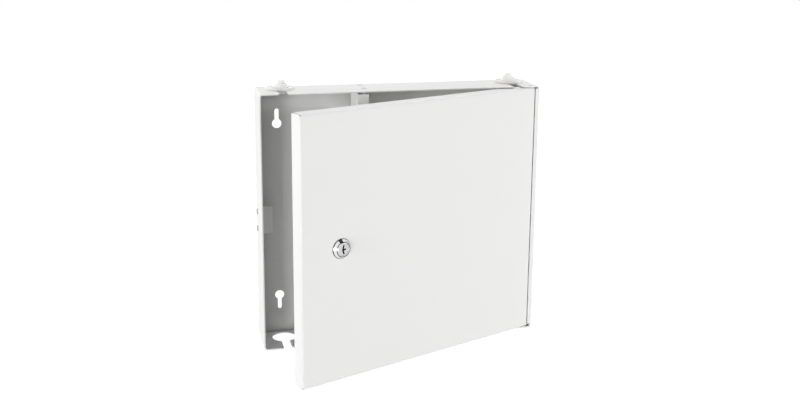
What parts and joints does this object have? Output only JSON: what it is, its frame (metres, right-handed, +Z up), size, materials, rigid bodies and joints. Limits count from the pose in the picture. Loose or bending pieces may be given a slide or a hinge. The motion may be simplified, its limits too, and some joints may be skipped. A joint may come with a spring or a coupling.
{
  "type": "steel wall enclosure",
  "caption": "Shallow painted sheet steel wall box with an inset hinged pan door, cam lock, inner partition, keyholes and stepped cable grommets.",
  "frame": {"origin": "centre of the back panel's outer face, which lies on the wall", "axes": "+X to the right as seen from the front, +Y into the wall, +Z up; the door opens towards -Y about an upright hinge near its right edge"},
  "size_m": [0.3011, 0.1578, 0.2862],
  "materials": {
    "case_paint": "light grey powder coat, satin",
    "door_paint": "light grey powder coat, satin",
    "rivet_steel": "painted over with the case outside, plain inside",
    "zinc_steel": "bright zinc plate",
    "lock_chrome": "bright chrome on die-cast zinc",
    "wafer_brass": "stamped",
    "grommet_rubber": "soft pale grey",
    "nylon": "natural"
  },
  "bodies": {
    "case": {"left_wall": "case_paint", "right_wall": "case_paint", "top_panel": "case_paint", "bottom_panel": "case_paint", "back_panel": "case_paint", "partition_plate": "case_paint", "partition_rivets": "rivet_steel", "strike_bracket": "case_paint", "strike_rivets": "rivet_steel", "grommet_left": "grommet_rubber", "grommet_right": "grommet_rubber", "pivot_upper": "rivet_steel", "pivot_lower": "rivet_steel", "pivot_washer_upper": "nylon", "pivot_washer_lower": "nylon", "body_earth_stud": "zinc_steel", "body_earth_washer": "zinc_steel", "body_earth_nut": "zinc_steel"},
    "door": {"door_panel": "door_paint", "lock_housing": "lock_chrome", "lock_tooth_washer": "zinc_steel", "lock_nut": "zinc_steel", "door_earth_stud": "zinc_steel", "door_earth_washer": "zinc_steel", "door_earth_nut": "zinc_steel"},
    "key_cylinder": {"lock_plug": "lock_chrome", "lock_wafers": "wafer_brass", "lock_cam": "zinc_steel", "lock_stop_washer": "zinc_steel", "lock_cam_screw": "zinc_steel"}
  },
  "joints": [
    {"name": "door_hinge", "type": "hinge", "parent": "case", "child": "door", "pos_m": [0.1417, -0.0465, 0], "axis": [0, 0, 1], "range_deg": [-22, 70]},
    {"name": "key_turn", "type": "hinge", "parent": "door", "child": "key_cylinder", "pos_m": [-0.08406, -0.14149, 0], "axis": [-0.3746, 0.9272, 0], "range_deg": [0, 90]}
  ]
}
